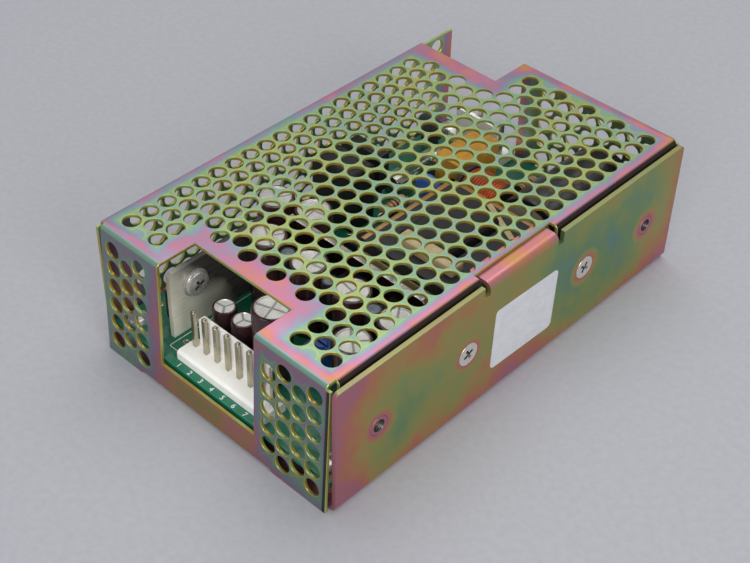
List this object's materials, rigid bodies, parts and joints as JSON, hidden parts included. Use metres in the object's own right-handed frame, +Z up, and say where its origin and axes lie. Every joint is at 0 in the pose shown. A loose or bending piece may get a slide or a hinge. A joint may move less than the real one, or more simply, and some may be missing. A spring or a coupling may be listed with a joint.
{
  "type": "power supply",
  "caption": "Switching power supply in a folded sheet-metal case: an L-shaped chassis and a perforated cover over a board with upright pin headers.",
  "frame": {"origin": "on the base plane, under the middle of the case's width and of its length between the end bends", "axes": "+X across the width to the solid side wall, +Y along the length away from the output connector, +Z up"},
  "size_m": [0.0834, 0.1308, 0.0391],
  "materials": {
    "chassis_chromate": "satin",
    "cover_chromate": "satin",
    "label_silver": "satin",
    "screw_steel": "satin",
    "board_green": "satin",
    "header_white": "satin",
    "pin_tin": "satin",
    "plate_aluminium": "brushed",
    "package_black": "satin",
    "sleeve_maroon": "gloss",
    "sleeve_black": "gloss",
    "film_yellow": "gloss",
    "disc_blue": "gloss",
    "ferrite": "matte",
    "tape_amber": "gloss",
    "bobbin_beige": "satin",
    "winding_black": "satin",
    "copper_wire": "gloss",
    "pad_grey": "matte",
    "resistor_tan": "satin",
    "trimmer_blue": "satin"
  },
  "bodies": {
    "root": {"board_screws": "screw_steel", "board_standoffs": "screw_steel", "bridge_rectifier": "package_black", "bulk_capacitor": "sleeve_black", "chassis": "chassis_chromate", "circuit_board": "board_green", "control_chip": "package_black", "cover": "cover_chromate", "cover_screws": "screw_steel", "cross_heatsink": "plate_aluminium", "film_capacitor": "film_yellow", "filter_choke": "package_black", "front_heatsink": "plate_aluminium", "front_rectifier": "package_black", "fuse": "pin_tin", "fuse_clips": "pin_tin", "heatsink_nut": "screw_steel", "heatsink_screw": "screw_steel", "heatsink_washer": "screw_steel", "input_header": "header_white", "input_pins": "pin_tin", "line_choke_core": "ferrite", "line_choke_winding": "copper_wire", "line_disc_capacitor": "disc_blue", "optocoupler": "package_black", "output_capacitor_1": "sleeve_maroon", "output_capacitor_2": "sleeve_maroon", "output_capacitor_3": "sleeve_maroon", "output_capacitor_4": "sleeve_maroon", "output_capacitor_5": "sleeve_maroon", "output_capacitor_6": "sleeve_maroon", "output_header": "header_white", "output_pins": "pin_tin", "output_rectifier_1": "package_black", "output_rectifier_2": "package_black", "power_transistor_1": "package_black", "power_transistor_2": "package_black", "primary_capacitor_1": "sleeve_maroon", "primary_capacitor_2": "sleeve_maroon", "rating_label": "label_silver", "resistor_1": "resistor_tan", "resistor_2": "resistor_tan", "resistor_3": "resistor_tan", "resistor_4": "resistor_tan", "rod_choke_1": "sleeve_black", "rod_choke_2": "sleeve_black", "rod_choke_3": "sleeve_black", "side_mounting_nuts": "screw_steel", "small_capacitor_1": "sleeve_maroon", "small_capacitor_2": "sleeve_maroon", "start_disc_capacitor": "disc_blue", "thermistor": "package_black", "transformer_bobbin": "bobbin_beige", "transformer_core": "ferrite", "transformer_tape": "tape_amber", "transformer_winding": "winding_black", "transistor_nuts": "screw_steel", "transistor_pads": "pad_grey", "transistor_screws": "screw_steel", "trimmer": "trimmer_blue"}
  },
  "joints": []
}
